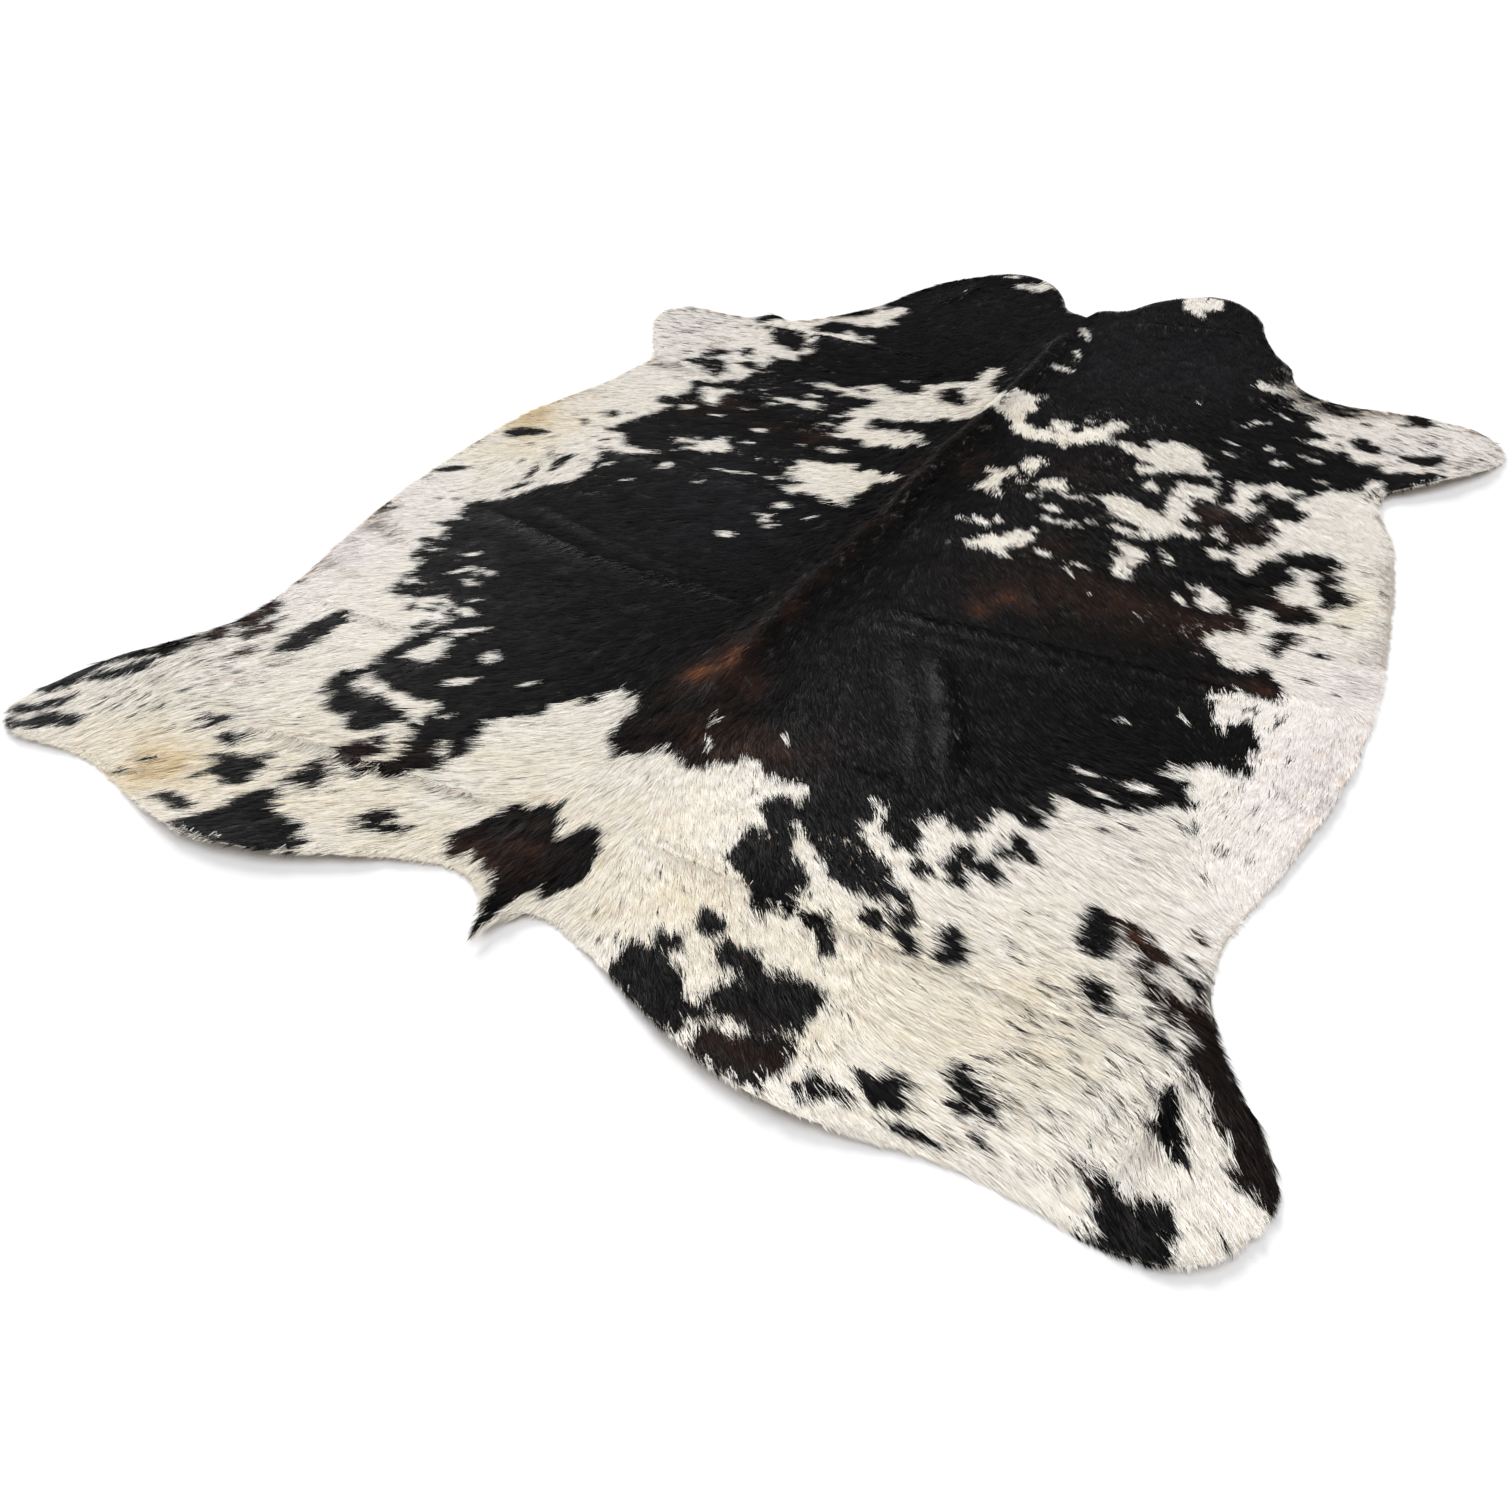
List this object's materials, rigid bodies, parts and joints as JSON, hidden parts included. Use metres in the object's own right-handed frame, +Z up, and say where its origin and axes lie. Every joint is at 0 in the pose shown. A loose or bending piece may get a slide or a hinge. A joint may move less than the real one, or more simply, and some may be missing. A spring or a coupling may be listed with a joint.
{
  "type": "cowhide rug",
  "caption": "Whole hair-on cowhide laid flat as a rug, trimmed to the animal's outline with legs, neck lobes and tail stub, softly creased, its rim lifting a little.",
  "frame": {"origin": "middle of the hide's box on the floor that it lies on", "axes": "+Z up, out of the hair side; +Y along the spine towards the neck; +X towards the animal's right"},
  "size_m": [1.714, 2.293, 0.0224],
  "materials": {
    "hair_on_leather": "tanned hide with short glossy hair in black, brown and cream white patches, suede underside"
  },
  "bodies": {
    "root": {"hide": "hair_on_leather"}
  },
  "joints": []
}
